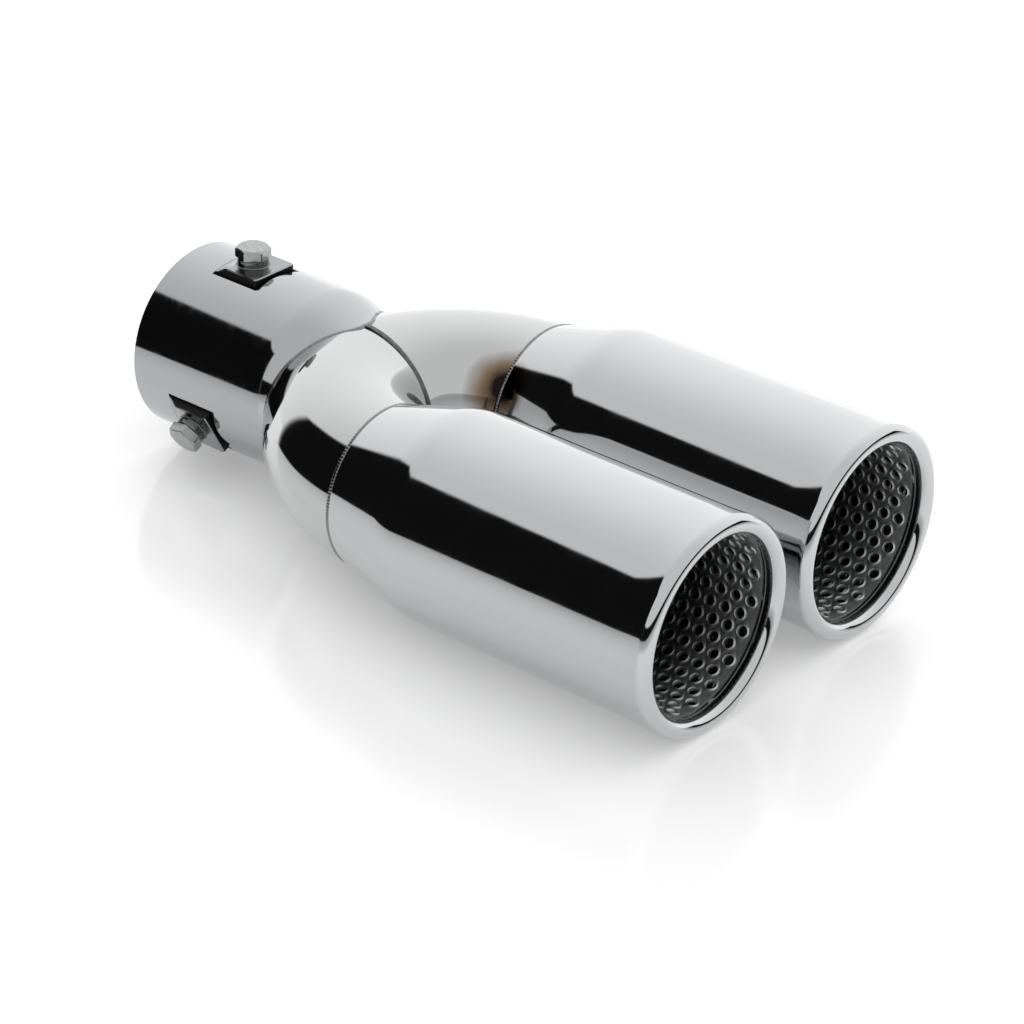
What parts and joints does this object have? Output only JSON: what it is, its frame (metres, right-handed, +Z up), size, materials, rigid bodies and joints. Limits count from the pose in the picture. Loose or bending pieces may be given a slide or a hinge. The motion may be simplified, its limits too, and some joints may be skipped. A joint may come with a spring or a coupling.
{
  "type": "twin exhaust tip",
  "caption": "Twin outlet exhaust tip: a clamp-on inlet sleeve splits through a mitred bend pair into side-by-side barrels with rolled lips and perforated liners.",
  "frame": {"origin": "centre of the inlet mouth, on the sleeve's axis", "axes": "+X from the inlet mouth to the outlets, +Y to the left outlet, +Z up, with the axes of sleeve and outlets level"},
  "size_m": [0.264, 0.159, 0.079],
  "materials": {
    "polished": "mirror polished",
    "weld": "as welded, brushed",
    "liner": "glossy black paint",
    "fastener": "plain stainless"
  },
  "bodies": {
    "root": {"inlet_sleeve": "polished", "left_branch": "polished", "right_branch": "polished", "left_barrel": "polished", "right_barrel": "polished", "throat_weld": "weld", "saddle_weld": "weld", "left_neck_weld": "weld", "right_neck_weld": "weld", "left_liner": "liner", "right_liner": "liner", "top_bolt": "fastener", "right_bolt": "fastener", "left_bolt": "fastener", "top_nut": "fastener", "right_nut": "fastener", "left_nut": "fastener"}
  },
  "joints": []
}
